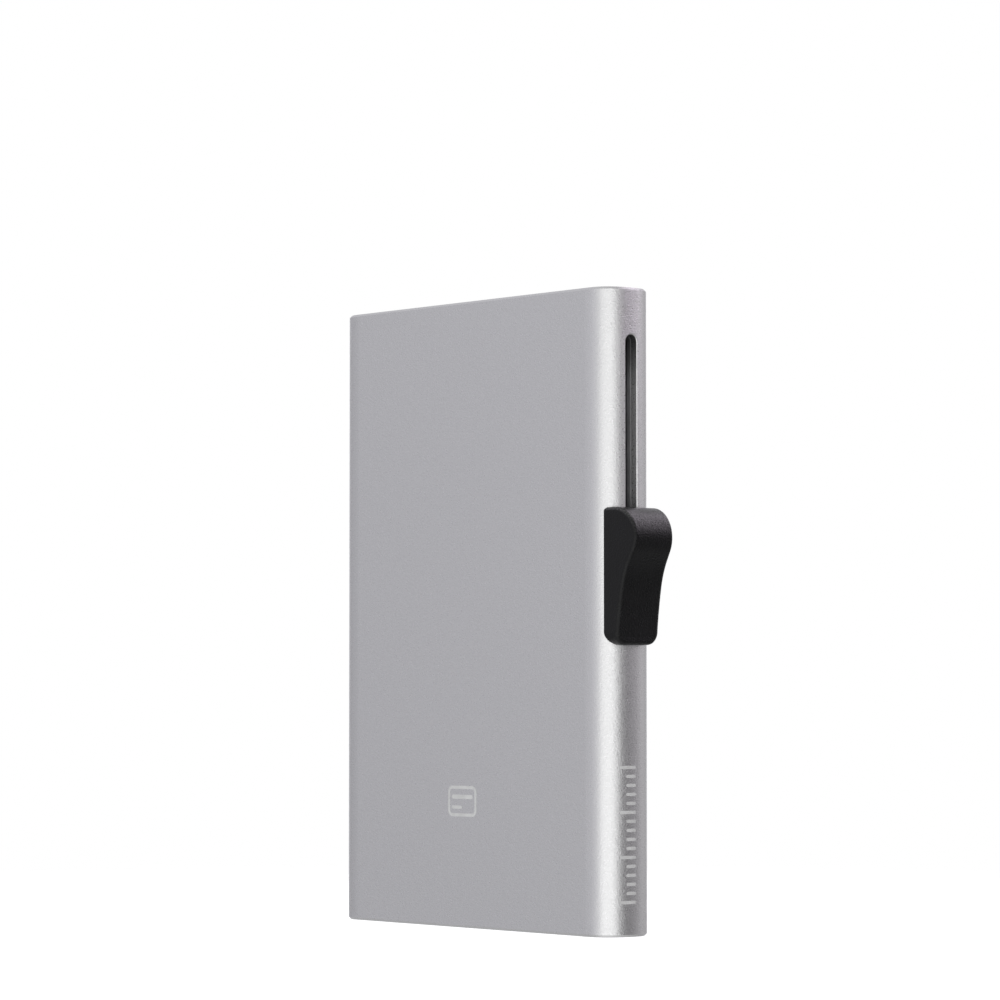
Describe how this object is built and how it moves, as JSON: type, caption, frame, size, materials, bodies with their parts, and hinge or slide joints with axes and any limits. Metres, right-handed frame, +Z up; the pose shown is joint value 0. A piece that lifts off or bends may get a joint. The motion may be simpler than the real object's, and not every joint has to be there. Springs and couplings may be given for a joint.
{
  "type": "card holder",
  "caption": "Slim upright aluminium card case: a rounded rectangular sleeve, open on top, with a black thumb slider in its narrow side that lifts the cards in steps.",
  "frame": {"origin": "middle of the flat bottom face, on the surface the case stands on", "axes": "+Z up towards the card mouth, +X towards the narrow side with the slider, -Y is the front face"},
  "size_m": [0.0711, 0.0102, 0.098],
  "materials": {
    "anodised_aluminium": "fine bead-blasted, clear satin anodised",
    "cage_plastic": "moulded black, matte",
    "rail_plastic": "moulded mid grey acetal, satin",
    "liner_plastic": "moulded black, fine texture",
    "slider_plastic": "moulded black, fine spark-eroded grain",
    "carriage_plastic": "moulded dark grey acetal, satin",
    "shoe_plastic": "natural white acetal, satin",
    "spring_steel": "rolled strip, bright",
    "screw_steel": "zinc plated",
    "bumper_rubber": "soft black elastomer",
    "felt": "dense black wool felt"
  },
  "bodies": {
    "case": {"sleeve": "anodised_aluminium", "mouth_frame": "cage_plastic", "bottom_plug": "cage_plastic", "guide_rail": "rail_plastic", "edge_rail": "rail_plastic", "edge_spring": "spring_steel", "lower_bumper": "bumper_rubber", "upper_bumper": "bumper_rubber", "front_liner": "liner_plastic", "rear_liner": "liner_plastic", "front_felt": "felt", "rear_felt": "felt"},
    "slider": {"thumb_slider": "slider_plastic", "slider_base": "slider_plastic", "carriage": "carriage_plastic", "brake_spring": "spring_steel", "card_lifter": "carriage_plastic", "lifter_shoe": "shoe_plastic", "base_screw_lower": "screw_steel", "base_screw_upper": "screw_steel", "lifter_screw_lower": "screw_steel", "lifter_screw_upper": "screw_steel"}
  },
  "joints": [
    {"name": "slider_lift", "type": "slide", "parent": "case", "child": "slider", "axis": [0, 0, 1], "range_m": [0, 0.03]}
  ]
}
